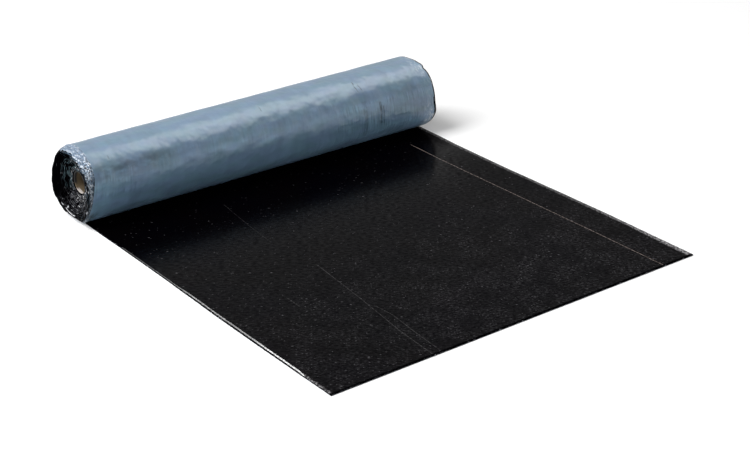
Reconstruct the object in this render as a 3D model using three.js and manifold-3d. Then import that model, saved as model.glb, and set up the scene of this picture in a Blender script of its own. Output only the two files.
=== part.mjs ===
// A part-used roll of bituminous roofing felt: one long sheet wound on a cardboard core,
// with its free end unrolled flat on the ground in front of it. Millimetres, +Z up.
// The roll's axis runs along X and the unrolled run lies along -Y.
import * as THREE from "three";
import { mergeVertices } from "three/addons/utils/BufferGeometryUtils.js";
import Module from "manifold-3d";

// The felt sheet.
const feltWidth = 1000;
const feltLength = 7500;
const laidLength = 1023;
const feltThickness = 3.8;

// The winding. A turn is drawn as straight steps, lined up from one turn to the next.
const windingGap = 0.1;
const stepsPerTurn = 36;
const openDepth = 4; // how far in from the roll's ends its turns can be told apart, at the least

// The roll has telescoped: its turns have slipped sideways along X on one another.
const outerTurnSlip = 2;
const bodySlip = -20;
const innerTurnSlip = 4;
const slipStart = 0.5; // counted in turns from the ground: the sheet runs out sideways over this stretch
const slipEnd = 1.35;

// The cardboard core.
const coreOuterDiameter = 56;
const coreWall = 3.5;
const coreClearance = 0.3;
const coreSetback = 2; // how far its ends lie inside the innermost turn

// What follows from them: turns are counted inwards from the line where the roll meets the ground.
const pitch = feltThickness + windingGap;
const innerRadius = coreOuterDiameter / 2 + coreClearance;
const woundSteps = Math.round(turnsOf(feltLength - laidLength) * stepsPerTurn);
const turns = woundSteps / stepsPerTurn;
const rollRadius = innerRadius + feltThickness + turns * pitch;
const slips = [
  { turn: 0, slip: 0 },
  { turn: slipStart, slip: outerTurnSlip },
  { turn: slipEnd, slip: bodySlip },
  { turn: turns, slip: innerTurnSlip },
];

const wasm = await Module();
wasm.setup();

// A spiral of n turns is as long as its mean circumference times n, solved here for n.
function turnsOf(length) {
  const firstTurn = 2 * innerRadius + feltThickness;
  const root = Math.sqrt(firstTurn ** 2 + (4 * pitch * length) / Math.PI);
  return (root - firstTurn) / (2 * pitch);
}

// The point of the spiral at a turn, at a height above the felt's underside, which faces outwards.
function spiralPoint(turn, height) {
  const angle = 2 * Math.PI * turn;
  const radius = rollRadius - pitch * turn - height;
  return new THREE.Vector2(radius * Math.sin(angle), rollRadius - radius * Math.cos(angle));
}

// How far the sheet has slipped along X at a turn.
function slipAt(turn) {
  const next = Math.max(1, slips.findIndex((stop) => stop.turn >= turn));
  const from = slips[next - 1];
  const to = slips[next];
  const share = THREE.MathUtils.smoothstep(turn, from.turn, to.turn);
  return THREE.MathUtils.lerp(from.slip, to.slip, share);
}

function solidOf(geometry) {
  geometry.deleteAttribute("normal");
  geometry.deleteAttribute("uv");
  const merged = mergeVertices(geometry, 1e-3);
  return new wasm.Manifold(
    new wasm.Mesh({
      numProp: 3,
      vertProperties: merged.attributes.position.array,
      triVerts: new Uint32Array(merged.index.array),
    }),
  );
}

function geometryOf(solid) {
  const { vertProperties, triVerts } = solid.getMesh();
  const geometry = new THREE.BufferGeometry();
  geometry.setAttribute("position", new THREE.BufferAttribute(vertProperties, 3));
  geometry.setIndex(new THREE.BufferAttribute(triVerts, 1));
  return geometry;
}

// The sheet starts as a straight slab whose length counts steps, and is then wound up: station 0
// is its free end, station 1 the line where it leaves the ground, and the rest are the turns.
function woundSheet() {
  const stations = woundSteps + 1;
  const slab = new THREE.BoxGeometry(feltWidth, stations, feltThickness, 1, stations, 1);
  slab.translate(feltWidth / 2, stations / 2, feltThickness / 2);
  const points = slab.attributes.position;
  for (let i = 0; i < points.count; i += 1) {
    const turn = (Math.round(points.getY(i)) - 1) / stepsPerTurn;
    const height = points.getZ(i);
    if (turn < 0) {
      points.setY(i, -laidLength);
    } else {
      const { x: y, y: z } = spiralPoint(turn, height);
      points.setXYZ(i, points.getX(i) + slipAt(turn), y, z);
    }
  }
  return slab;
}

// A closed loop of the sheet's mid-thickness over one full turn.
function loopFrom(firstTurn) {
  const loop = [];
  for (let step = 0; step <= stepsPerTurn; step += 1) {
    loop.push(spiralPoint(firstTurn + step / stepsPerTurn, feltThickness / 2));
  }
  return loop;
}

// The pressed-together turns between the two ends, where nothing shows between them.
function pressedTurns() {
  const outline = new THREE.Shape(loopFrom(0));
  outline.holes.push(new THREE.Path(loopFrom(turns - 1)));
  const start = Math.max(0, outerTurnSlip, bodySlip, innerTurnSlip) + openDepth;
  const end = feltWidth + Math.min(0, outerTurnSlip, bodySlip, innerTurnSlip) - openDepth;
  const body = new THREE.ExtrudeGeometry(outline, { depth: end - start, bevelEnabled: false });
  body.translate(0, 0, start);
  const along = new THREE.Matrix4().makeBasis(
    new THREE.Vector3(0, 1, 0),
    new THREE.Vector3(0, 0, 1),
    new THREE.Vector3(1, 0, 0),
  );
  return body.applyMatrix4(along);
}

function makeFelt() {
  const felt = new THREE.Mesh(
    geometryOf(solidOf(woundSheet()).add(solidOf(pressedTurns()))),
    new THREE.MeshStandardMaterial({ color: 0x1c1c1e, roughness: 0.55, metalness: 0 }),
  );
  felt.name = "roofing_felt";
  return felt;
}

// The tube's facets line up with the turns round it.
function makeCore() {
  const length = feltWidth - 2 * coreSetback;
  const outer = coreOuterDiameter / 2;
  const inner = outer - coreWall;
  const section = [
    new THREE.Vector2(inner, 0),
    new THREE.Vector2(outer, 0),
    new THREE.Vector2(outer, length),
    new THREE.Vector2(inner, length),
    new THREE.Vector2(inner, 0),
  ];
  const tube = new THREE.LatheGeometry(section, stepsPerTurn);
  const onItsSide = new THREE.Matrix4().makeBasis(
    new THREE.Vector3(0, 1, 0),
    new THREE.Vector3(1, 0, 0),
    new THREE.Vector3(0, 0, -1),
  );
  const core = new THREE.Mesh(
    tube.applyMatrix4(onItsSide),
    new THREE.MeshStandardMaterial({ color: 0x8c7355, roughness: 0.9, metalness: 0 }),
  );
  core.position.set(innerTurnSlip + coreSetback, 0, rollRadius);
  core.name = "cardboard_core";
  return core;
}

const roll = new THREE.Group();
roll.add(makeFelt(), makeCore());

// The part's origin is the middle of the ground that it covers.
const box = new THREE.Box3().setFromObject(roll);
const middle = box.getCenter(new THREE.Vector3());
roll.position.set(-middle.x, -middle.y, -box.min.z);

export default roll;
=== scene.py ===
import math

import bmesh
import bpy
from mathutils import Matrix, Vector, noise


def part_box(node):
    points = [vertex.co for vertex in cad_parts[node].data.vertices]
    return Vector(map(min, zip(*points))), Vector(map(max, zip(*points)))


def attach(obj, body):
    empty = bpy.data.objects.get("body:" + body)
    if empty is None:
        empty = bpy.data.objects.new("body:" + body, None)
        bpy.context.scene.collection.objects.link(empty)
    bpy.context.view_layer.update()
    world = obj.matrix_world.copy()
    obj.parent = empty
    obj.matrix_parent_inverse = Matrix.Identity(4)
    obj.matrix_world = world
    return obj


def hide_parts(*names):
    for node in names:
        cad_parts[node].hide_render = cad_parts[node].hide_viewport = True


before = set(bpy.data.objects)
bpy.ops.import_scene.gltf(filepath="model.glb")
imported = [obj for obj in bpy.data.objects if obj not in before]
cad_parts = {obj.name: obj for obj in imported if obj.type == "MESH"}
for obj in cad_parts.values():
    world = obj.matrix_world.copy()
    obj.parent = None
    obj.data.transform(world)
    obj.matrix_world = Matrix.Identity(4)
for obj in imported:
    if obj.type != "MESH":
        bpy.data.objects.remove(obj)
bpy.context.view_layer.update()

scene = bpy.context.scene

# the camera, a long lens looking down over the roll's left end
camera = {
    "place": (-2.0864, -2.8415, 1.6657),
    "yaw": 36.728,  # degrees to the right of +Y
    "pitch": 25.161,  # degrees down
    "roll": -0.525,
    "lens": 80.29,  # mm
    "sensor": 36,  # mm wide
}


def makeCamera():
    data = bpy.data.cameras.new("camera")
    data.sensor_width = camera["sensor"]
    data.lens = camera["lens"]
    body = bpy.data.objects.new("camera", data)
    scene.collection.objects.link(body)
    turned = (
        Matrix.Rotation(-math.radians(camera["yaw"]), 4, "Z")
        @ Matrix.Rotation(math.radians(90 - camera["pitch"]), 4, "X")
        @ Matrix.Rotation(math.radians(camera["roll"]), 4, "Z")
    )
    body.matrix_world = Matrix.Translation(camera["place"]) @ turned
    scene.camera = body


makeCamera()
print("camera placed")


# small helpers
def mix(low, high, share):
    return low + (high - low) * share


def smoothStep(value, low, high):
    share = min(1.0, max(0.0, (value - low) / (high - low)))
    return share * share * (3 - 2 * share)


def ripple(x, y, z=0.0):
    return noise.noise(Vector((x, y, z)))  # -1 to 1, the same on every run


def finishMesh(name, bm):
    mesh = bpy.data.meshes.new(name)
    bm.to_mesh(mesh)
    bm.free()
    return mesh


def addPiece(mesh, materials, smooth=True):
    for material in materials:
        mesh.materials.append(material)
    for face in mesh.polygons:
        face.use_smooth = smooth
    piece = bpy.data.objects.new(mesh.name, mesh)
    scene.collection.objects.link(piece)
    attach(piece, "root")
    return piece


# node helpers
def newMaterial(name):
    material = bpy.data.materials.new(name)
    material.use_nodes = True
    tree = material.node_tree
    return material, tree, tree.nodes["Principled BSDF"]


def isOutput(value):
    return isinstance(value, bpy.types.NodeSocket)


# A value is a number, a vector, a colour, or the output of another node.
def setInputs(node, values):
    for name, value in values.items():
        if isOutput(value):
            node.id_data.links.new(value, node.inputs[name])
        else:
            node.inputs[name].default_value = value


# A node in the tree given, or else in the one that its values come from.
def addNode(kind, values=None, tree=None, **settings):
    values = values or {}
    tree = tree or next(value.id_data for value in values.values() if isOutput(value))
    made = tree.nodes.new("ShaderNode" + kind)
    for name, setting in settings.items():
        setattr(made, name, setting)
    setInputs(made, values)
    return made


def calc(operation, first, second=0.0, third=0.0):
    return addNode("Math", {0: first, 1: second, 2: third}, operation=operation).outputs[0]


def times(first, *others):
    for other in others:
        first = calc("MULTIPLY", first, other)
    return first


def ramp(value, low, high, fromValue=0.0, toValue=1.0):
    made = addNode("MapRange", {"Value": value, "From Min": low, "From Max": high,
                                "To Min": fromValue, "To Max": toValue},
                   interpolation_type="SMOOTHSTEP")
    return made.outputs["Result"]


def blendColour(share, first, second):
    first, second = (colour if isOutput(colour) else (*colour, 1) for colour in (first, second))
    return addNode("Mix", {0: share, 6: first, 7: second}, data_type="RGBA").outputs[2]


def shadeColour(colour, shade):
    return addNode("VectorMath", {0: colour, "Scale": shade}, operation="SCALE").outputs[0]


# Noise drawn out by its scale along each axis.
def stretched(vector, scale, detail=3.0, roughness=0.5):
    placed = addNode("Mapping", {"Vector": vector, "Scale": scale})
    made = addNode("TexNoise", {"Vector": placed.outputs[0], "Scale": 1.0, "Detail": detail,
                                "Roughness": roughness})
    return made.outputs[0]


# The same noise with its contrast raised. A pattern in the tables below is written as
# (scale, detail, roughness, the noise's low and high, and what they turn into if not 0 and 1).
def patterned(vector, scale, detail, roughness, low, high, fromValue=0.0, toValue=1.0):
    return ramp(stretched(vector, scale, detail, roughness), low, high, fromValue, toValue)


# Noise that wanders by `reach`, half of it to either side.
def wandering(vector, scale, reach, detail=2, roughness=0.5):
    wander = times(stretched(vector, scale, detail, roughness), reach)
    return calc("SUBTRACT", wander, reach / 2)


def bump(height, distance, normal=None):
    under = {} if normal is None else {"Normal": normal}
    return addNode("Bump", {"Height": height, "Distance": distance, **under}).outputs[0]


# the felt: one sheet, laid flat at its free end and wound up from there
felt = {
    "width": 1.000,
    "laid": 1.023,
    "thick": 0.0038,
    "gap": 0.0001,
    "coreRadius": 0.028,
    "corePlay": 0.0003,
    # the turns have slipped sideways on one another: (turn, slip along X)
    "leftSlips": ((0.0, 0.0), (0.50, 0.002), (0.62, 0.002), (0.90, -0.020), (1.35, -0.020), (16.53, 0.004)),
    "rightSlips": ((0.0, 0.0), (0.34, 0.001), (0.46, -0.018), (0.50, -0.0155), (0.55, -0.006),
                   (0.578, -0.0005), (0.592, -0.0040), (0.62, 0.0008), (0.67, 0.0025), (0.75, 0.0035),
                   (0.815, 0.0095), (0.85, 0.0075), (0.92, -0.004), (1.20, -0.020), (16.53, 0.004)),
    # the outer turns are pushed in at the left end:
    # (share of a turn, how far the first is, the first that isn't)
    "knocks": ((-0.120, 0.0, 4.0), (-0.050, 0.010, 4.0), (-0.017, 0.013, 4.0), (0.028, 0.010, 4.0),
               (0.056, 0.007, 4.0), (0.086, 0.0035, 4.0), (0.120, 0.0, 4.0), (0.167, -0.0028, 3.4),
               (0.214, -0.0022, 3.4), (0.250, 0.0015, 3.4), (0.319, 0.008, 3.6), (0.400, 0.013, 3.8),
               (0.444, 0.017, 4.0), (0.500, 0.017, 4.5), (0.542, 0.018, 5.5), (0.583, 0.018, 6.5),
               (0.631, 0.018, 7.0), (0.675, 0.016, 7.0), (0.708, 0.014, 7.0), (0.753, 0.011, 6.5),
               (0.781, 0.008, 6.0), (0.808, 0.0055, 5.0), (0.833, 0.002, 4.0), (0.880, 0.0, 4.0)),
    "knockStart": (0.86, 0.96),  # the turns over which they set in
    "knockReach": (0.004, 0.060),  # how far in from the end they hold, and where they have gone
    # the laid run's edges aren't straight:
    # (metres past the contact line, the left one along X, the right one)
    "bow": ((-1.03, -0.0012, 0.0022), (-0.90, -0.0026, 0.0025), (-0.76, -0.0035, 0.0028),
            (-0.62, -0.0036, 0.0010), (-0.50, -0.0020, -0.0014), (-0.38, -0.0005, -0.0038),
            (-0.20, -0.0003, -0.0036), (-0.10, -0.0010, -0.0012), (0.0, 0.0, 0.0)),
    "bowReach": 0.10,
    # the bitumen shows past the film round the roll's right edge: (turn, how wide)
    "rim": ((0.0, 0.0010), (0.48, 0.0012), (0.56, 0.0034), (0.68, 0.0038), (0.77, 0.0060), (0.84, 0.0040),
            (0.90, 0.0015), (1.3, 0.0010)),
    # it has sagged under its own weight:
    # (share of a turn, how far out of round at the left end, at the right one)
    "sag": ((0.0, 0.0, 0.0), (0.12, 0.0020, 0.0024), (0.25, 0.0, 0.0), (0.38, -0.0016, 0.0004),
            (0.47, -0.0026, 0.0014), (0.60, -0.0012, 0.0008), (0.72, 0.0, 0.0004), (0.90, 0.0023, 0.0046),
            (1.0, 0.0, 0.0)),
    "lumps": 0.00072,  # how far the surface of the roll is out of true
    "broadLumps": (7, 1.2),  # how close together they lie along the roll and round it
    "fineLumps": (17, 3.6),
    "fineTurns": 1.3,  # how far in the surface is drawn finely
    "fineRows": 72,  # rows in a turn there
    "coarseRows": 64,
    "laidRows": 180,
    "fineStep": 0.0080,  # between columns
    "coarseStep": 0.24,
    "edgeColumns": (0.0, 0.0005, 0.0015, 0.0035, 0.0060),  # those next to each edge
    "edgeThick": 0.72,  # the long edges are pressed to this share of the thickness
    "edgeFall": (-0.0002, 0.0016),  # between these distances from the edge
    "endThick": 0.9,  # and the cut end to this share
    # how unevenly they are cut
    "woundRagged": 0.0007, "laidRagged": 0.0003,
    "cornerRagged": 0.0016, "cornerLength": (0.75, 0.92),
}
feltLow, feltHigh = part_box("roofing_felt")
pitch = felt["thick"] + felt["gap"]
rollRadius = (feltHigh.z - feltLow.z + pitch / 2) / 2  # the highest point lies half a turn in
turns = (rollRadius - felt["coreRadius"] - felt["corePlay"] - felt["thick"]) / pitch
leftEdge = feltLow.x - min(slip for _, slip in felt["leftSlips"])
contact = Vector((leftEdge, feltLow.y + felt["laid"], feltLow.z))  # where the sheet leaves the ground


def lengthAt(turn):
    return math.pi * turn * (2 * rollRadius - pitch * turn)


def turnAt(length):
    return (rollRadius - math.sqrt(rollRadius ** 2 - pitch * length / math.pi)) / pitch


# The numbers of a table at a place between its rows, each row starting with its own place.
def follow(rows, place):
    for first, second in zip(rows, rows[1:]):
        if place <= second[0]:
            break
    share = smoothStep(place, first[0], second[0])
    return [mix(before, after, share) for before, after in zip(first[1:], second[1:])]


def slipAt(x, turn):
    left, = follow(felt["leftSlips"], turn)
    right, = follow(felt["rightSlips"], turn)
    return mix(left, right, x / felt["width"])


def knockAt(x, turn):
    start = felt["knocks"][0][0]
    knock, lastTurn = follow(felt["knocks"], (turn - start) % 1 + start)
    fading = min(1.0, max(0.0, (lastTurn - turn) / (lastTurn - 1)))
    return knock * smoothStep(turn, *felt["knockStart"]) * fading * (1 - smoothStep(x, *felt["knockReach"]))


# The turns nest, so the sag and the lumps follow the angle and the place along the roll.
# They fade towards the core.
def sagAt(x, turn):
    left, right = follow(felt["sag"], turn % 1)
    return mix(left, right, x / felt["width"]) * (1 - turn / turns)


def lumpsAt(x, turn):
    angle = 2 * math.pi * turn
    ahead, up = math.cos(angle), math.sin(angle)
    clear = smoothStep(1 - ahead, 0.02, 0.35)  # none where the roll rests on the sheet
    along, about = felt["broadLumps"]
    broad = ripple(x * along, ahead * about, up * about)
    along, about = felt["fineLumps"]
    fine = ripple(x * along + 7, ahead * about, up * about)
    lumps = felt["lumps"] * clear * (broad + fine)
    return lumps * (1 - turn / turns) + sagAt(x, turn)


# Where a point of the flat sheet goes: x across it, length past the contact line.
def wound(x, length, height):
    if length <= 0:
        left, right = follow(felt["bow"], length)
        inner, outer = felt["bowReach"], felt["width"] - felt["bowReach"]
        bow = left * (1 - smoothStep(x, 0.0, inner)) + right * smoothStep(x, outer, felt["width"])
        return contact + Vector((x + bow, length, height))
    turn = turnAt(length)
    angle = 2 * math.pi * turn
    radius = rollRadius - pitch * turn - height + lumpsAt(x, turn)
    return contact + Vector((x + slipAt(x, turn) + knockAt(x, turn), radius * math.sin(angle),
                             rollRadius - radius * math.cos(angle)))


# Stations across the sheet, close together at both edges.
def columnsAcross(step):
    near = list(felt["edgeColumns"])
    middle = felt["width"] - 2 * near[-1]
    count = round(middle / step)
    between = [near[-1] + middle * i / count for i in range(1, count)]
    return near + between + [felt["width"] - x for x in reversed(near)]


# A flat grid with its columns and rows at the stations given.
def addGrid(bm, columns, rows):
    made = bmesh.ops.create_grid(bm, x_segments=len(columns) - 1, y_segments=len(rows) - 1, size=1)
    for vert in made["verts"]:
        column = round((vert.co.x + 1) / 2 * (len(columns) - 1))
        row = round((vert.co.y + 1) / 2 * (len(rows) - 1))
        vert.co = Vector((columns[column], rows[row], 0))
    return made["verts"]


def edgesOnRow(verts, row):
    onRow = {vert for vert in verts if abs(vert.co.y - row) < 1e-7}
    return list({edge for vert in onRow for edge in vert.link_edges
                 if all(end in onRow for end in edge.verts)})


# The flat slab, in fine squares where it shows and in long strips further in.
def makeSlab():
    fineEnd = felt["fineTurns"]
    laidRows = [-felt["laid"] * (1 - i / felt["laidRows"]) for i in range(felt["laidRows"])]
    fineCount = round(fineEnd * felt["fineRows"])
    fineRows = [lengthAt(fineEnd * i / fineCount) for i in range(fineCount + 1)]
    coarseCount = round((turns - fineEnd) * felt["coarseRows"])
    coarseRows = [lengthAt(mix(fineEnd, turns, i / coarseCount)) for i in range(1, coarseCount + 1)]

    bm = bmesh.new()
    fineVerts = addGrid(bm, columnsAcross(felt["fineStep"]), laidRows + fineRows)
    coarseVerts = addGrid(bm, columnsAcross(felt["coarseStep"]), coarseRows)
    joined = edgesOnRow(fineVerts, fineRows[-1]) + edgesOnRow(coarseVerts, coarseRows[0])
    bmesh.ops.bridge_loops(bm, edges=joined)
    bmesh.ops.recalc_face_normals(bm, faces=bm.faces[:])
    if bm.faces[0].normal.z < 0:
        bmesh.ops.reverse_faces(bm, faces=bm.faces[:])
    thick = bmesh.ops.extrude_face_region(bm, geom=bm.faces[:])
    raised = [part for part in thick["geom"] if isinstance(part, bmesh.types.BMVert)]
    bmesh.ops.translate(bm, verts=raised, vec=(0, 0, felt["thick"]))
    bmesh.ops.recalc_face_normals(bm, faces=bm.faces[:])
    return bm


# Each face's material (0 film, 1 upper face, 2 cut edge) and its place on the flat sheet.
def mapSlab(bm):
    strip = bm.loops.layers.uv.new("strip")
    for face in bm.faces:
        face.normal_update()
        middle = face.calc_center_median()
        rim, = follow(felt["rim"], turnAt(max(0.0, middle.y)))
        rim *= 1 + 0.5 * ripple(middle.y * 70, 21)
        if abs(face.normal.z) < 0.5 or (face.normal.z < 0 and middle.x > felt["width"] - rim):
            face.material_index = 2
        else:
            face.material_index = 1 if face.normal.z > 0 else 0
        for loop in face.loops:
            loop[strip].uv = loop.vert.co.xy


# A point of the flat slab with its edges pressed thinner and cut unevenly.
def pressed(x, length, height):
    fromEdge = min(x, felt["width"] - x)
    share = mix(felt["edgeThick"], 1.0, smoothStep(fromEdge, *felt["edgeFall"]))
    if length < -felt["laid"] + 1e-6:
        share *= felt["endThick"]
    height = mix(felt["thick"] / 2, height, share)
    if fromEdge < 0.001:
        ragged = felt["woundRagged"] if length > 0 else felt["laidRagged"]
        if x > felt["width"] / 2:
            ragged += felt["cornerRagged"] * smoothStep(-length, *felt["cornerLength"])
        x += ragged * ripple(length * 90, turnAt(max(0, length)) * 5) - 0.3 * (ragged - felt["laidRagged"])
    return x, length, max(0.0, height)


def makeFelt():
    bm = makeSlab()
    mapSlab(bm)
    for vert in bm.verts:
        vert.co = wound(*pressed(*vert.co))
    return finishMesh("felt_sheet", bm)


# Masks over the sheet, whose map "strip" holds metres across it and metres past the contact line.
def makeStrip(tree):
    strip = addNode("UVMap", tree=tree, uv_map="strip").outputs[0]
    parts = addNode("SeparateXYZ", {"Vector": strip})
    return strip, parts.outputs["X"], parts.outputs["Y"]


# 1 on a line at `centre`, 0 from `width` off it.
def lineMask(value, centre, width):
    off = calc("ABSOLUTE", calc("SUBTRACT", value, centre))
    return ramp(off, 0.25 * width, width, 1.0, 0.0)


# 1 between two values, fading over `fade` outside them.
def bandMask(value, start, end, fade):
    rise = ramp(value, start - fade, start)
    fall = ramp(value, end, end + fade, 1.0, 0.0)
    return times(rise, fall)


# Straight runs between (place, offset) corners, as one number along `place`.
def bentLine(place, corners):
    total = corners[0][1]
    for (start, before), (end, after) in zip(corners, corners[1:]):
        step = addNode("MapRange", {"Value": place, "From Min": start, "From Max": end,
                                    "To Min": 0.0, "To Max": after - before})
        total = calc("ADD", step.outputs["Result"], total)
    return total


film = {
    # the crease colour is painted shade laid along the creases
    "blue": (0.104, 0.169, 0.256), "teal": (0.098, 0.176, 0.240), "crease": (0.026, 0.048, 0.070),
    "worn": (0.36, 0.41, 0.46), "stain": (0.012, 0.020, 0.026),
    "roughness": 0.33, "ior": 1.68,
    "tint": ((13, 36, 1), 3, 0.5, 0.36, 0.64),
    "streaks": ((36, 5, 1), 4, 0.6, 0.3, 0.7, 0.93, 1.07),
    "blotches": ((16, 40, 1), 4, 0.6, 0.3, 0.7, 0.95, 1.05),
    "cloudy": ((15, 26, 1), 3, 0.6, 0.36, 0.60, 0.25, 1.6),
    "broken": ((90, 60, 1), 2, 0.5, 0.36, 0.52, 0.30, 1.0),
    "scuffed": ((190, 70, 1), 3, 0.6, 0.50, 0.60, 0.0, 0.75),
    "stained": ((160, 130, 1), 3, 0.6, 0.36, 0.50, 0.2, 0.9),
    "uneven": ((22, 40, 1), 2, 0.5, 0.40, 0.58, 0.15, 1.0),
    # painted light and shade: a darker band just under the highlight, a paler band where the lower reflection
    # lies, and lighter and darker patches at the front and low down: (across, along, reach across, reach
    # along, how much)
    "paintedShading": ((0.45, 0.388, 1.40, 0.026, -0.09), (0.45, 0.421, 1.20, 0.020, 0.12),
               (0.10, 0.402, 0.17, 0.030, -0.30), (0.08, 0.490, 0.25, 0.045, -0.12),
               (0.77, 0.425, 0.14, 0.035, 0.06), (0.95, 0.430, 0.12, 0.065, -0.14),
               (0.80, 0.500, 0.42, 0.045, 0.12), (0.42, 0.424, 0.18, 0.020, 0.10)),
    # creases round the roll, dented and with painted shade along them: (across, from, to, width, depth)
    "creases": ((0.824, 0.416, 0.468, 0.0058, 0.72), (0.832, 0.428, 0.470, 0.0030, 0.65),
                (0.775, 0.404, 0.497, 0.0100, 0.40), (0.771, 0.345, 0.371, 0.0024, 0.85),
                (0.784, 0.355, 0.370, 0.0022, 0.65), (0.488, 0.338, 0.354, 0.0024, 0.50),
                (0.053, 0.366, 0.370, 0.0030, 0.40)),
    "creaseWander": ((3, 60, 1), 0.004),
    # how scuffed the right edge is: (along, share)
    "scuffs": ((0.30, 0.35), (0.335, 1.0), (0.360, 0.75), (0.385, 0.20), (0.45, 0.25), (0.465, 1.6),
               (0.51, 1.6)),
    "scuffReach": (0.045, 0.008),  # how far in from the edge they start, and where they are full
    # the stained corner at the left edge: (from, to) across it and (from, to, fade) along it
    "stainAcross": (0.012, 0.036), "stainAlong": (0.512, 0.550, 0.026),
    # where it is finely ribbed: (across from, to, along from, to, how deeply)
    "ribbed": ((0.690, 0.965, 0.412, 0.500, 1.0), (0.015, 0.100, 0.405, 0.456, 1.0),
               (0.100, 0.30, 0.398, 0.426, 0.4), (0.30, 0.69, 0.392, 0.424, 0.35)),
    # the relief: how each kind is drawn out, and its height in metres; ribShade is how much darker and
    # lighter the ribs are painted along their relief, as painted shade and light
    "ribs": (190, 14, 1), "ribHeight": 0.0011, "ribShade": (-0.17, 0.15),
    "waves": (24, 20, 1), "waveHeight": 0.0050,
    "combs": (150, 30, 1), "combHeight": 0.0001,
    "creaseDepth": 0.0006,
}


def filmShade(strip, across, along):
    shade = times(patterned(strip, *film["streaks"]), patterned(strip, *film["blotches"]))
    cloudy = patterned(strip, *film["cloudy"])
    # painted light and shade, from the film's table of bands and patches
    for middle, place, wide, deep, much in film["paintedShading"]:
        cloud = times(lineMask(across, middle, wide), lineMask(along, place, deep), cloudy)
        shade = times(shade, calc("MULTIPLY_ADD", cloud, much, 1.0))
    return shade


def filmCreases(strip, across, along):
    wander = wandering(strip, *film["creaseWander"])
    creases = 0.0
    for centre, start, end, width, depth in film["creases"]:
        placed = calc("ADD", wander, centre)
        crease = times(lineMask(across, placed, width), bandMask(along, start, end, 0.006), depth)
        creases = calc("MAXIMUM", crease, creases)
    return times(creases, patterned(strip, *film["broken"]))


def filmScuffs(strip, across, along):
    outer, inner = film["scuffReach"]
    worn = ramp(across, felt["width"] - outer, felt["width"] - inner)
    return times(worn, patterned(strip, *film["scuffed"]), bentLine(along, film["scuffs"]))


def filmStain(strip, across, along):
    return times(ramp(across, *film["stainAcross"], 1.0, 0.0),
                 bandMask(along, *film["stainAlong"]), patterned(strip, *film["stained"]))


# How deep the ribs are, 0 where there are none.
def ribDepth(strip, across, along):
    depth = 0.0
    for left, right, start, end, much in film["ribbed"]:
        patch = times(bandMask(across, left, right, 0.02), bandMask(along, start, end, 0.012), much)
        depth = calc("MAXIMUM", depth, patch)
    return times(depth, patterned(strip, *film["uneven"]))


# The blue-grey release film on the outside of the roll.
def makeFilmMaterial():
    material, tree, shader = newMaterial("release_film")
    sheet = makeStrip(tree)
    strip = sheet[0]
    colour = blendColour(patterned(strip, *film["tint"]), film["blue"], film["teal"])
    colour = shadeColour(colour, filmShade(*sheet))
    creases = filmCreases(*sheet)
    # painted shade along the creases
    colour = blendColour(creases, colour, film["crease"])
    colour = blendColour(filmScuffs(*sheet), colour, film["worn"])
    colour = blendColour(filmStain(*sheet), colour, film["stain"])
    ribs, depth = stretched(strip, film["ribs"], 2), ribDepth(*sheet)
    # the ribs' colour follows their relief: painted shade and light
    ribShade = ramp(ribs, 0.34, 0.66, *film["ribShade"])
    colour = shadeColour(colour, calc("MULTIPLY_ADD", depth, ribShade, 1.0))
    normal = bump(stretched(strip, film["waves"], 2), film["waveHeight"])
    normal = bump(stretched(strip, film["combs"], 2), film["combHeight"], normal)
    normal = bump(times(ribs, depth), film["ribHeight"], normal)
    normal = bump(creases, -film["creaseDepth"], normal)
    setInputs(shader, {"Base Color": colour, "Roughness": film["roughness"], "IOR": film["ior"],
                       "Normal": normal})
    return material


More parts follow.
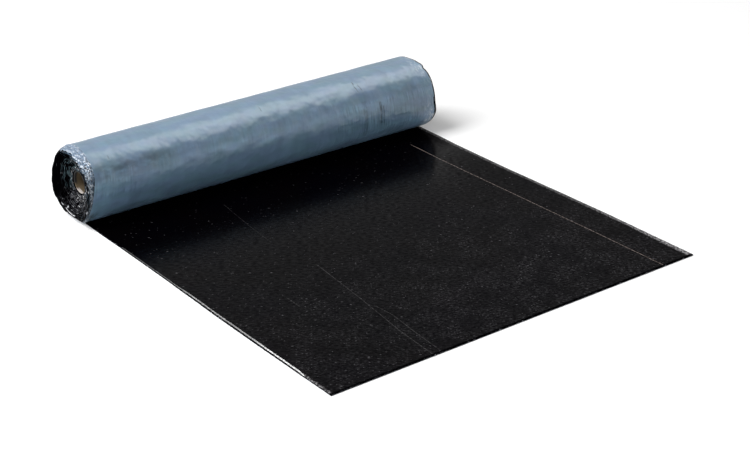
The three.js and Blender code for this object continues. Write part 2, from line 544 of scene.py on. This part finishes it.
surface = {
    "dark": (0.0004, 0.0003, 0.0009), "light": (0.0006, 0.0004, 0.0007), "fleck": (0.110, 0.107, 0.115),
    "line": (0.190, 0.155, 0.140), "scratch": (0.125, 0.120, 0.122), "margin": (0.32, 0.31, 0.32),
    "pressed": (0.0006, 0.0006, 0.0008),
    "roughness": 0.6, "coatRoughness": 0.19,
    "tint": ((6, 5, 1), 4, 0.5, 0.35, 0.65),
    "patchy": ((15, 15, 1), 4, 0.5, 0.35, 0.65, 0.5, 1.6),
    "gritty": ((110, 330, 1), 3, 0.7, 0.46, 0.72),
    "worn": ((1, 130, 1), 3, 0.5, 0.41, 0.57, 0.30, 1.10),
    "crinkled": ((250, 180, 1), 2, 0.6, 0.46, 0.55, 0.08, 1.0),
    "glossy": ((80, 210, 1), 3, 0.6, 0.38, 0.62, 0.58, 1.42),
    "lie": -0.60,  # how far the flecks and the gloss are turned on the sheet, in radians
    "crowding": (-1.05, -0.12),  # metres past the contact line where flecks are densest and sparsest
    # flecks of two sizes: (size, shift, share of the places that have one near the roll, at the cut end)
    "flecks": (((0.0095, 0.0036, 1), 0.0, 0.005, 0.022), ((0.0060, 0.0021, 1), 0.37, 0.012, 0.080)),
    "grit": 0.210,  # the most of the fine grit between them
    "gritLeft": 0.72,  # this share of it at the left
    # marks along the sheet, the lap line first:
    # (width, depth, then metres past the contact line and metres across at each bend)
    "marks": ((0.0014, 1.0, (-1.020, 0.9092), (-0.800, 0.9080), (-0.574, 0.9048), (-0.243, 0.9000),
               (-0.126, 0.9012)),
              (0.0012, 0.32, (-1.010, 0.2536), (-0.901, 0.2605), (-0.778, 0.2767), (-0.668, 0.2895),
               (-0.551, 0.3011)),
              (0.0010, 0.13, (-0.365, 0.2869), (-0.266, 0.2961), (-0.150, 0.3110)),
              (0.0012, 0.28, (-1.008, 0.2756), (-0.924, 0.2820), (-0.839, 0.2907), (-0.786, 0.2873)),
              (0.0010, 0.30, (-0.683, 0.1580), (-0.641, 0.1587))),
    "markWander": ((1, 26, 1), 0.002),
    # the pale margins: (from, to) along the sheet and what it turns into there
    "marginWide": (-1.01, -0.80, 0.013, 0.0095), "marginClear": (-0.95, -0.80, 0.0, 0.0020),
    "marginRight": (-0.95, -0.60, 0.95, 0.42), "marginLeft": (-0.94, -0.87, 0.60, 0.0),
    "marginWander": ((120, 160, 1), 0.012, 4, 0.7),
    "border": 0.0042,  # pressed flat along the cut end
    "gloss": 0.090,
    # painted sheen: (metres past the contact line, its gloss there), peaking in a band in front of the roll
    # and nearly gone next to it
    "paintedSheenAlong": ((-0.95, 0.76), (-0.65, 0.92), (-0.50, 1.08), (-0.42, 1.25), (-0.36, 1.55), (-0.30, 2.30),
                   (-0.26, 1.20), (-0.21, 0.30), (-0.12, 0.03)),
    "crinkles": (170, 120, 1), "crinkleHeight": 0.0012,
}


# One size of flecks: a voronoi cell has one if its first random number falls under the share.
def fleckLayer(strip, size, shift, share):
    placed = addNode("Mapping", {"Vector": strip, "Scale": size, "Location": (shift, 2 * shift, 0),
                                 "Rotation": (0, 0, surface["lie"])}, vector_type="TEXTURE")
    cells = addNode("TexVoronoi", {"Vector": placed.outputs[0], "Scale": 1.0}, voronoi_dimensions="2D")
    chosen = addNode("SeparateXYZ", {"Vector": cells.outputs["Color"]}).outputs
    brightness = calc("MULTIPLY_ADD", calc("POWER", chosen["Y"], 3.0), 0.9, 0.1)
    return times(calc("LESS_THAN", chosen["X"], share),
                 ramp(cells.outputs["Distance"], 0.16, 0.34, 1.0, 0.0), brightness)


# Flecks and grit, sparse near the roll and dense towards the cut end.
def addFlecks(colour, strip, turned, across, along):
    crowd = ramp(along, *surface["crowding"], 1.0, 0.0)
    patchy = patterned(strip, *surface["patchy"])
    flecks = 0.0
    for size, shift, few, many in surface["flecks"]:
        share = times(ramp(crowd, 0.0, 1.0, few, many), patchy)
        flecks = calc("MAXIMUM", flecks, fleckLayer(strip, size, shift, share))
    grit = times(patterned(turned, *surface["gritty"]), patchy,
                 ramp(crowd, 0.1, 1.0, 0.0, surface["grit"]),
                 ramp(across, 0.15, 0.60, surface["gritLeft"], 1.0))
    colour = blendColour(flecks, colour, surface["fleck"])
    return blendColour(grit, colour, surface["fleck"])


def addMarks(colour, strip, across, along):
    wander = wandering(strip, *surface["markWander"])
    worn = patterned(strip, *surface["worn"])
    for number, (width, depth, *bends) in enumerate(surface["marks"]):
        centre = calc("ADD", bentLine(along, bends), wander)
        mark = times(lineMask(across, centre, width),
                     bandMask(along, bends[0][0], bends[-1][0], 0.012), worn, depth)
        colour = blendColour(mark, colour, surface["scratch" if number else "line"])
    return colour


# Pale crinkled margins along both edges, widest at the cut end's corners. Away from the cut end,
# the right one stands clear of its edge.
def surfaceMargins(strip, across, along):
    wander = wandering(strip, *surface["marginWander"])
    fromRight = calc("ADD", calc("SUBTRACT", felt["width"], across), wander)
    wide, clear = ramp(along, *surface["marginWide"]), ramp(along, *surface["marginClear"])
    right = times(ramp(calc("DIVIDE", fromRight, wide), 0.7, 1.3, 1.0, 0.0),
                  ramp(calc("SUBTRACT", fromRight, clear), -0.001, 0.001),
                  ramp(along, *surface["marginRight"]))
    left = times(ramp(calc("ADD", across, wander), 0.003, 0.007, 1.0, 0.0),
                 ramp(along, *surface["marginLeft"]))
    return times(calc("MAXIMUM", left, right), patterned(strip, *surface["crinkled"]))


# Painted sheen: the gloss grows towards the roll and fades just in front of it, a little nearer to it at the
# right edge.
def surfacePaintedSheen(turned, across, along):
    nearer = calc("SUBTRACT", along, ramp(across, 0.80, 0.96, 0.0, 0.10))
    return times(bentLine(nearer, surface["paintedSheenAlong"]), patterned(turned, *surface["glossy"]),
                 surface["gloss"])


# The felt's black upper face.
def makeSurfaceMaterial():
    material, tree, shader = newMaterial("felt_surface")
    strip, across, along = makeStrip(tree)
    turned = addNode("Mapping", {"Vector": strip, "Rotation": (0, 0, surface["lie"])},
                     vector_type="TEXTURE").outputs[0]
    colour = blendColour(patterned(strip, *surface["tint"]), surface["dark"], surface["light"])
    colour = addFlecks(colour, strip, turned, across, along)
    colour = addMarks(colour, strip, across, along)
    colour = blendColour(surfaceMargins(strip, across, along), colour, surface["margin"])
    borderEnd = surface["border"] - felt["laid"]
    inside = ramp(along, borderEnd - 0.0005, borderEnd + 0.0005)
    colour = blendColour(inside, surface["pressed"], colour)
    # the coat's gloss is painted sheen, set by place along the sheet
    gloss = times(surfacePaintedSheen(turned, across, along), inside)
    crinkles = stretched(strip, surface["crinkles"], 4, 0.6)
    setInputs(shader, {"Base Color": colour, "Roughness": surface["roughness"], "Specular IOR Level": 0.0,
                       "Coat Weight": gloss, "Coat Roughness": surface["coatRoughness"],
                       "Normal": bump(crinkles, surface["crinkleHeight"])})
    return material


# Places about the roll's axis, so that marks run round its ends. "polar" holds the radius, the way
# round on a 60 mm radius, and the place along the roll.
def makePolar(tree):
    place = addNode("TexCoord", tree=tree).outputs["Object"]
    centred = addNode("VectorMath", {0: place, 1: (0, contact.y, contact.z + rollRadius)},
                      operation="SUBTRACT").outputs[0]
    out, back, up = addNode("SeparateXYZ", {"Vector": centred}).outputs
    radius = calc("SQRT", calc("ADD", times(back, back), times(up, up)))
    angle = calc("ARCTAN2", up, back)
    polar = addNode("CombineXYZ", {"X": radius, "Y": times(angle, 0.06), "Z": out}).outputs[0]
    return {"polar": polar, "radius": radius, "angle": angle, "back": back, "up": up}


ends = {
    "black": (0.0003, 0.0003, 0.0005), "grey": (0.092, 0.094, 0.106), "blue": (0.055, 0.084, 0.096),
    "dull": (0.46, 0.49, 0.54), "bright": (0.93, 0.93, 0.95), "white": (0.85, 0.87, 0.90),
    "lines": ((440, 80, 160), 3, 0.65, 0.48, 0.60),
    "stuck": ((190, 45, 60), 3, 0.6, 0.46, 0.60),
    "broken": ((20, 130, 20), 2, 0.5, 0.36, 0.46, 0.45, 1.0),
    # bits crowd in a collar round the core, and in front below and above it: (along Y, along Z)
    "below": (-0.42, -0.91), "belowSpread": (-0.20, 0.95), "belowRadius": (0.034, 0.080, 1.0, 0.35),
    "above": (-0.70, 0.71), "aboveSpread": (0.55, 0.95, 0.0, 0.45),
    "collar": (0.028, 0.037, 0.003), "collarCrowd": 0.6,
    "bits": (400, 130, 240), "few": 0.022, "many": 0.50,  # places to a metre, and the share that has one
    "waves": (110, 70, 110), "waveShift": 0.016,
    "patch": (0.034, 0.056, 0.010), "patchUp": (-0.040, 0.005),  # bluer film stuck on higher up
    # one strip of film stands out white low down at the back: (from, to, fade) of its radius and angle
    "streak": (0.0824, 0.0840, 0.0003), "streakAngle": (-1.66, -1.14, 0.05), "streakLean": 0.003,
    "fibres": (215, 110, 180),
}


# How the crushed bits crowd, 0 to 1.
def endCrowd(places):
    radius = places["radius"]

    def towards(alongY, alongZ):
        off = calc("ADD", times(places["back"], alongY), times(places["up"], alongZ))
        return calc("DIVIDE", off, radius)

    below = times(ramp(towards(*ends["below"]), *ends["belowSpread"]),
                  ramp(radius, *ends["belowRadius"]))
    collar = times(bandMask(radius, *ends["collar"]), ends["collarCrowd"])
    above = ramp(towards(*ends["above"]), *ends["aboveSpread"])
    return calc("MAXIMUM", below, calc("MAXIMUM", collar, above))


def endBits(wavy, crowd, more):
    placed = addNode("Mapping", {"Vector": wavy, "Scale": ends["bits"]}).outputs[0]
    cells = addNode("TexVoronoi", {"Vector": placed, "Scale": 1.0})
    chosen = addNode("SeparateXYZ", {"Vector": cells.outputs["Color"]}).outputs
    share = ramp(crowd, 0.0, 1.0, ends["few"], ends["many"] + more)
    return times(calc("LESS_THAN", chosen["X"], share),
                 ramp(cells.outputs["Distance"], 0.30, 0.55, 1.0, 0.0),
                 ramp(times(chosen["Y"], chosen["Y"]), 0.0, 1.0, 0.18, 1.0))


def endStreak(places):
    angle = places["angle"]
    leaning = calc("SUBTRACT", places["radius"], times(angle, ends["streakLean"]))
    return times(bandMask(leaning, *ends["streak"]), bandMask(angle, *ends["streakAngle"]),
                 patterned(places["polar"], *ends["broken"]))


# What shows on the roll's ends: black bitumen, with crushed bits of film drawn out along the turns.
# `more` adds to the share of the bits.
def endColour(tree, more):
    places = makePolar(tree)
    polar, crowd = places["polar"], endCrowd(places)
    shift = times(stretched(polar, ends["waves"], 2), ends["waveShift"])
    shift = addNode("CombineXYZ", {"X": shift}).outputs[0]
    wavy = addNode("VectorMath", {0: polar, 1: shift}, operation="ADD").outputs[0]
    lines = times(patterned(wavy, *ends["lines"]), ramp(crowd, 0.0, 0.8, 0.015, 1.0))
    patch = times(patterned(polar, *ends["stuck"]),
                  bandMask(places["radius"], *ends["patch"]),
                  ramp(places["up"], *ends["patchUp"]))
    colour = blendColour(lines, ends["black"], ends["grey"])
    colour = blendColour(patch, colour, ends["blue"])
    bitColour = blendColour(crowd, ends["dull"], ends["bright"])
    colour = blendColour(endBits(wavy, crowd, more), colour, bitColour)
    colour = blendColour(endStreak(places), colour, ends["white"])
    return colour, stretched(polar, ends["fibres"], 2, 0.6)


# The felt's cut edges, and the film that is torn and crushed between the turns.
def makeEndMaterial(name, more, roughness, specular, height):
    material, tree, shader = newMaterial(name)
    colour, fibres = endColour(tree, more)
    setInputs(shader, {"Base Color": colour, "Roughness": roughness, "Specular IOR Level": specular,
                       "Normal": bump(fibres, height)})
    return material


print("winding the felt")
feltEdge = makeEndMaterial("felt_edge", more=0.0, roughness=0.5, specular=0.0, height=0.0010)
feltPiece = addPiece(makeFelt(), [makeFilmMaterial(), makeSurfaceMaterial(), feltEdge])
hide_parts("roofing_felt")


# The release film's free margins: thin ribbons that stand out past the felt's edges.
def makeRibbon(name, columns, rows, place, thickness=0.00015):
    bm = bmesh.new()
    made = bmesh.ops.create_grid(bm, x_segments=columns, y_segments=rows, size=1)
    for vert in made["verts"]:
        vert.co = place((vert.co.x + 1) / 2, (vert.co.y + 1) / 2)
        vert.co.z = max(vert.co.z, contact.z + 0.0003)  # clear of the ground
    bmesh.ops.recalc_face_normals(bm, faces=bm.faces[:])
    bmesh.ops.solidify(bm, geom=bm.faces[:], thickness=thickness)
    bmesh.ops.recalc_face_normals(bm, faces=bm.faces[:])
    return finishMesh(name, bm)


# Sharp ridges with hollows between them, 0 to 1.
def crumple(x, y, scale):
    coarse = 1 - min(1, 2.4 * abs(ripple(x * scale, y * scale, 3)))
    fine = 1 - min(1, 2.4 * abs(ripple(x * scale * 2.3, y * scale * 2.3, 8)))
    return 0.65 * coarse + 0.35 * fine


# An arc of a margin that starts level and bends by `bend` over its reach: how far out, how far in.
def curl(reach, bend, share):
    bend = bend if abs(bend) > 0.01 else 0.01
    return reach * math.sin(bend * share) / bend, reach * (1 - math.cos(bend * share)) / bend


# A point at an angle round the roll, in turns from the ground.
def around(x, radius, turn):
    angle = 2 * math.pi * turn
    return contact + Vector((x, radius * math.sin(angle), rollRadius - radius * math.cos(angle)))


# Loose film draped from the outermost turn's edge over the turns behind it and round the end.
skirt = {
    "fromTurn": 0.36, "toTurn": 0.90, "rows": 300, "columns": 34, "crumple": 0.0022, "scale": 95,
    # how far it overlaps the outermost turn before and after these turns, and its lift there
    "overlap": (0.0045, 0.0018), "overlapTurns": (0.68, 0.74), "lift": 0.0001,
    # how it turns over the edge: (share across it, place past the edge, height off the turn)
    "over": ((0.22, 0.0004, 0.0003), (0.30, -0.0008, -0.0006)),
    "shoulder": 0.45,  # the share across it where its shoulder lies
    # (turn, shoulder in from the edge, its radius, tip along X, its radius)
    "bends": ((0.360, -0.004, 0.0925, -0.0070, 0.0905), (0.444, -0.003, 0.0925, -0.0185, 0.0845),
              (0.517, -0.002, 0.0932, -0.0150, 0.0845), (0.569, -0.002, 0.0935, -0.0138, 0.0795),
              (0.631, -0.002, 0.0935, -0.0135, 0.0795), (0.675, -0.002, 0.0932, -0.0120, 0.0810),
              (0.728, -0.002, 0.0930, -0.0116, 0.0855), (0.781, -0.0015, 0.0928, -0.0130, 0.0905),
              (0.833, -0.0012, 0.0925, -0.0192, 0.0915), (0.900, -0.0012, 0.0922, -0.0212, 0.0910)),
}


# Its cross-section at a turn: rows of (share across it, place along X, radius).
def skirtSection(turn, length):
    shoulderIn, shoulderRadius, tipX, tipRadius = follow(skirt["bends"], turn)
    sag, edge = sagAt(0, turn), slipAt(0, turn)
    top = rollRadius - pitch * turn + lumpsAt(0, turn)
    overlap = mix(*skirt["overlap"], smoothStep(turn, *skirt["overlapTurns"]))
    over = [(share, edge + past, top + height) for share, past, height in skirt["over"]]
    shoulder = (skirt["shoulder"], edge + shoulderIn, shoulderRadius + sag)
    stray = 0.55 * ripple(length * 75, 1) + 0.35 * ripple(length * 220, 2)
    tip = (1.0, mix(tipX, shoulder[1], 0.35 * stray), mix(tipRadius + sag, shoulder[2], stray))
    return [(0.0, edge + overlap, top + skirt["lift"]), *over, shoulder, tip]


def placeSkirt(across, along):
    turn = mix(skirt["fromTurn"], skirt["toTurn"], along)
    length = lengthAt(turn)
    section = skirtSection(turn, length)
    for first, second in zip(section, section[1:]):
        if across <= second[0]:
            break
    share = (across - first[0]) / (second[0] - first[0])
    x, radius = mix(first[1], second[1], share), mix(first[2], second[2], share)
    loose = smoothStep(across, 0.05, 0.40) * (1 - 0.5 * smoothStep(across, 0.85, 1.0))
    rise = skirt["crumple"] * loose * crumple(x, length, skirt["scale"]) ** 1.5
    return around(x - rise * smoothStep(across, 0.35, 0.6), radius + 0.6 * rise, turn)


# The film's ragged margin along the spiral at one end of the roll.
fringe = {
    "step": 0.0030, "columns": 4, "thick": 0.00006,
    "tuck": 0.0008, "tucked": 0.25,  # how far it reaches in between the turns, with this share of it
    "leftStart": 1.02, "rightStart": 0.30, "end": turns - 0.02,  # turns
}


def makeFringe(name, side, startTurn, reachOf):
    start, end = lengthAt(startTurn), lengthAt(fringe["end"])
    rows = round((end - start) / fringe["step"])
    tucked = fringe["tucked"]

    def place(across, along):
        length = mix(start, end, along)
        flat = fringe["tuck"] * max(0.0, 1 - across / tucked)
        reach, bend = reachOf(length)
        out, drop = curl(reach, bend, max(0.0, (across - tucked) / (1 - tucked)))
        x = flat - out
        return wound(x if side < 0 else felt["width"] - x, length, drop - felt["gap"] / 2)

    return makeRibbon(name, fringe["columns"], rows, place, fringe["thick"])


# Torn and crushed, most of it towards the ground, and least on the outer turns at the back and top.
def leftReach(length):
    turn = turnAt(length)
    lowness = smoothStep(math.cos(2 * math.pi * turn), -0.2, 0.7)
    outerness = 1 - smoothStep(turn, 3.5, 6.0)
    torn = max(0.0, 0.35 + 1.1 * ripple(length * 38, 7) + 0.8 * ripple(length * 150, 8))
    share = mix(0.45 * (1 - 0.85 * outerness), 1.0, lowness)
    return 0.00015 + 0.0021 * torn * share, math.radians(10 + 90 * ripple(length * 85, 9))


def rightReach(length):
    torn = max(0.0, 0.2 + ripple(length * 38, 17) + 0.6 * ripple(length * 150, 18))
    return 0.0001 + 0.0009 * torn, math.radians(60 * ripple(length * 85, 19))


# A lip of film folded over onto the laid run's left edge, palest near the cut end, with painted shade and
# light over its folds.
lip = {
    "start": -0.932, "end": -0.200, "rows": 280, "columns": 6,
    # (metres past the contact line, how far in from the edge it starts, how wide)
    "bends": ((-0.932, 0.0007, 0.0020), (-0.910, 0.0018, 0.0038), (-0.700, 0.0023, 0.0038),
              (-0.500, 0.0020, 0.0034), (-0.430, 0.0007, 0.0018), (-0.200, 0.0007, 0.0014)),
    # (metres past the contact line, how pale)
    "tones": ((-0.80, 0.78), (-0.74, 0.28), (-0.50, 0.30), (-0.43, 0.13), (-0.20, 0.10)),
    "folds": (230, 160, 230), "foldShading": (0.35, 0.60, 0.35, 1.15),
    "foldHeight": 0.0006, "roughness": 0.35,
}


def placeLip(across, along):
    length = mix(lip["start"], lip["end"], along)
    inset, width = follow(lip["bends"], length)
    width *= 1 + 0.2 * ripple(length * 55, 11) + 0.15 * ripple(length * 190, 12)
    lift = 0.00010 + 0.0004 * crumple(across * 0.006, length, 160) * math.sin(math.pi * across)
    return wound(inset + width * across, length, felt["thick"] + lift)


# Crumpled film with air behind it is paler than the film on the roll, and black where bitumen stuck to it.
# Its white lies on the crumple ridges as a painted highlight.
# Over the top of the roll it lies nearly flat, and lower down it is painted less white and darker, as painted
# shade.
crushed = {
    # the low colour is the film's blue in painted shade near the ground
    "white": (0.89, 0.94, 1.00), "blue": (0.150, 0.205, 0.280), "low": (0.018, 0.031, 0.046),
    "dark": (0.003, 0.004, 0.005),
    "creases": (270, 189, 270), "palest": (0.51, 0.60),
    "stuck": ((405, 243, 405), 2, 0.6, 0.54, 0.58),
    # heights over the roll's axis: (from, to, what it turns into); lower down the painted white fades and the
    # colour darkens as painted shade
    "flatUp": (0.066, 0.086, 1.0, 0.30), "litUp": (0.034, 0.086, 0.15, 1.0), "shadeUp": (0.016, 0.076),
    "roughness": 0.3, "specular": 0.2, "creaseHeight": 0.0006,
}


def makeCrushedMaterial():
    material, tree, shader = newMaterial("loose_film")
    places = makePolar(tree)
    polar, up = places["polar"], places["up"]
    creases = stretched(polar, crushed["creases"], 2, 0.65)
    creased = ramp(up, *crushed["flatUp"])
    # white on the crumple ridges is painted highlight, fading lower down; the blue darkens low down as
    # painted shade
    pale = times(ramp(creases, *crushed["palest"]), creased, ramp(up, *crushed["litUp"]))
    blue = blendColour(ramp(up, *crushed["shadeUp"]), crushed["low"], crushed["blue"])
    colour = blendColour(pale, blue, crushed["white"])
    stuck = times(patterned(polar, *crushed["stuck"]), creased)
    colour = blendColour(stuck, colour, crushed["dark"])
    setInputs(shader, {"Base Color": colour, "Roughness": crushed["roughness"],
                       "Specular IOR Level": crushed["specular"],
                       "Normal": bump(creases, crushed["creaseHeight"])})
    return material


def makeLipMaterial():
    material, tree, shader = newMaterial("pale_film")
    places = makePolar(tree)
    folds = stretched(places["polar"], lip["folds"], 2, 0.65)
    # darker in the fold hollows and paler on their ridges: painted shade and light
    tone = times(bentLine(places["back"], lip["tones"]), ramp(folds, *lip["foldShading"]))
    grey = addNode("CombineColor", {"Red": tone, "Green": tone, "Blue": tone}).outputs[0]
    setInputs(shader, {"Base Color": grey, "Roughness": lip["roughness"],
                       "Normal": bump(folds, lip["foldHeight"])})
    return material


print("adding the film's free margins")
tornFilm = makeEndMaterial("torn_film", more=0.04, roughness=0.35, specular=0.015, height=0.0012)
margins = (
    (makeRibbon("film_skirt", skirt["columns"], skirt["rows"], placeSkirt), makeCrushedMaterial()),
    (makeFringe("film_left_fringe", -1, fringe["leftStart"], leftReach), tornFilm),
    (makeFringe("film_right_fringe", 1, fringe["rightStart"], rightReach), tornFilm),
    (makeRibbon("film_lip", lip["columns"], lip["rows"], placeLip), makeLipMaterial()),
)
for mesh, material in margins:
    addPiece(mesh, [material], smooth=False)


# the cardboard core
core = {
    "outer": 0.028, "wall": 0.0035, "sides": 96, "bevel": 0.0004,
    "deep": (0.040, 0.028, 0.012), "brown": (0.090, 0.062, 0.030),
    "pale": (0.36, 0.33, 0.31), "black": (0.004, 0.004, 0.004),
    "grain": (60, 400, 400), "grainHeight": 0.0003, "roughness": 0.85,
    # the bore is painted pale just inside its mouth, low down, where light falls in (painted light), and
    # painted black above that (painted shade):
    # (from, to) in from the mouth and over the roll's axis
    "litIn": (0.0045, 0.0075), "litUp": (-0.0238, -0.0185),
    "shadowIn": (0.003, 0.009), "shadowUp": (-0.016, -0.006),
}
coreLow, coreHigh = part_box("cardboard_core")


def makeCore():
    middle = (coreLow + coreHigh) / 2
    bm = bmesh.new()
    outer, inner = core["outer"], core["outer"] - core["wall"]
    corners = [(coreLow.x, inner), (coreLow.x, outer), (coreHigh.x, outer), (coreHigh.x, inner)]
    verts = [bm.verts.new((x, middle.y, middle.z + radius)) for x, radius in corners]
    edges = [bm.edges.new((verts[i], verts[(i + 1) % 4])) for i in range(4)]
    bmesh.ops.spin(bm, geom=verts + edges, cent=middle, axis=(1, 0, 0), angle=math.tau,
                   steps=core["sides"], use_merge=True, use_duplicate=False)
    bmesh.ops.remove_doubles(bm, verts=bm.verts[:], dist=1e-6)
    bmesh.ops.recalc_face_normals(bm, faces=bm.faces[:])
    rims = [edge for edge in bm.edges if abs(edge.verts[0].co.x - edge.verts[1].co.x) < 1e-6]
    bmesh.ops.bevel(bm, geom=rims, offset=core["bevel"], segments=2, profile=0.5, affect="EDGES", material=-1)
    return finishMesh("core_tube", bm)


def makeBoardMaterial():
    material, tree, shader = newMaterial("core_board")
    place = addNode("TexCoord", tree=tree).outputs["Object"]
    grain = stretched(place, core["grain"], 4)
    out = addNode("SeparateXYZ", {"Vector": place}).outputs["X"]
    inwards = calc("SUBTRACT", out, coreLow.x)
    up = makePolar(tree)["up"]
    # painted light on the lower wall just inside the mouth, and painted shade above it
    pale = times(ramp(inwards, *core["litIn"], 1.0, 0.0),
                 ramp(up, *core["litUp"], 1.0, 0.0))
    black = times(ramp(inwards, *core["shadowIn"], 1.0, 0.0), ramp(up, *core["shadowUp"]))
    colour = blendColour(grain, core["deep"], core["brown"])
    colour = blendColour(pale, colour, core["pale"])
    colour = blendColour(black, colour, core["black"])
    setInputs(shader, {"Base Color": colour, "Roughness": core["roughness"],
                       "Normal": bump(grain, core["grainHeight"])})
    return material


print("making the core")
corePiece = addPiece(makeCore(), [makeBoardMaterial()])
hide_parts("cardboard_core")


# Floor, lamps and world.
studio = {
    "floorSize": 30,
    "floorTone": 0.86,
    "floorRoughness": 0.9,
    "floorDrop": 0.0003,  # below the felt
    "floorGlow": 0.125,  # for the camera alone, so that the open floor is white
    # an overhead strip that only gloss sees, and a tall soft key from the left
    "strip": {"place": (2.10, 0.08, 3.3), "aim": (2.10, 0.08, 0), "size": (3.2, 2.4), "watts": 76,
              "colour": (1.0, 0.96, 0.89), "onlyGloss": True},
    "key": {"place": (-5.0, 1.7, 6.2), "aim": (0, 0.40, 0.05), "size": (4.8, 5.6), "watts": 890,
            "colour": (1, 1, 1), "onlyGloss": False},
    "fillFront": 0.60,  # the world's strength for diffuse light, from in front and from behind
    "fillBack": 0.18,
    "fillLow": 1.2,  # added low down in front
    "fillLeft": 1.22,  # times this from the left, and as much less from the right
    "bright": 1.10,  # what gloss sees all round
    "dim": 0.12,  # what it sees high up in front
    "behind": 0.70,  # and low down behind
}


def makeFloor():
    bm = bmesh.new()
    bmesh.ops.create_grid(bm, x_segments=1, y_segments=1, size=studio["floorSize"] / 2)
    mesh = finishMesh("floor", bm)
    floor = bpy.data.objects.new("floor", mesh)
    scene.collection.objects.link(floor)
    floor.location.z = feltLow.z - studio["floorDrop"]
    material, tree, shader = newMaterial("floor")
    seen = addNode("LightPath", tree=tree).outputs["Is Camera Ray"]
    setInputs(shader, {"Base Color": (studio["floorTone"],) * 3 + (1,),
                       "Roughness": studio["floorRoughness"], "Specular IOR Level": 0.0,
                       "Emission Color": (1, 1, 1, 1),
                       "Emission Strength": times(seen, studio["floorGlow"])})
    mesh.materials.append(material)


def makeLamp(name, setup):
    data = bpy.data.lights.new(name, "AREA")
    data.shape = "RECTANGLE"
    data.size, data.size_y = setup["size"]
    data.energy = setup["watts"]
    data.color = setup["colour"]
    lamp = bpy.data.objects.new(name, data)
    scene.collection.objects.link(lamp)
    lamp.location = setup["place"]
    aim = Vector(setup["aim"]) - Vector(setup["place"])
    lamp.rotation_euler = aim.to_track_quat("-Z", "Y").to_euler()
    lamp.visible_diffuse = not setup["onlyGloss"]


def blendValue(share, first, second):
    return addNode("Mix", {0: share, 2: first, 3: second}, data_type="FLOAT").outputs[0]


# What gloss reflects: bright all round, but dim high up in front and duller low down behind.
def glossLight(right, back, up):
    front = ramp(back, -0.35, 0.1, 1.0, 0.0)
    lean = ramp(right, 0.42, 0.56, 0.20, -0.30)
    high = ramp(calc("ADD", up, lean), 0.10, 0.42)
    behind = ramp(up, 0.30, 0.42, studio["behind"], studio["bright"])
    level = ramp(front, 0.0, 1.0, behind, studio["bright"])
    return ramp(times(front, high), 0.0, 1.0, level, studio["dim"])


def fillLight(right, back, up):
    fill = ramp(back, -0.7, 0.5, studio["fillFront"], studio["fillBack"])
    lowFill = times(ramp(back, -0.8, -0.2, studio["fillLow"], 0.0),
                    ramp(up, 0.05, 0.45, 1.0, 0.0))
    side = ramp(right, -0.7, 0.7, studio["fillLeft"], 2 - studio["fillLeft"])
    return times(calc("ADD", fill, lowFill), side)


def makeWorld():
    world = bpy.data.worlds.new("studio")
    scene.world = world
    world.use_nodes = True
    tree = world.node_tree
    direction = addNode("TexCoord", tree=tree).outputs["Generated"]
    right, back, up = addNode("SeparateXYZ", {"Vector": direction}).outputs
    path = addNode("LightPath", tree=tree).outputs
    sharp = calc("MAXIMUM", path["Is Glossy Ray"], path["Is Transmission Ray"])
    level = blendValue(sharp, fillLight(right, back, up), glossLight(right, back, up))
    strength = blendValue(path["Is Camera Ray"], level, 1.0)
    setInputs(tree.nodes["Background"], {"Color": (1, 1, 1, 1), "Strength": strength})


print("lighting")
makeFloor()
makeLamp("strip_lamp", studio["strip"])
makeLamp("key_lamp", studio["key"])
makeWorld()
scene.view_settings.view_transform = "Standard"
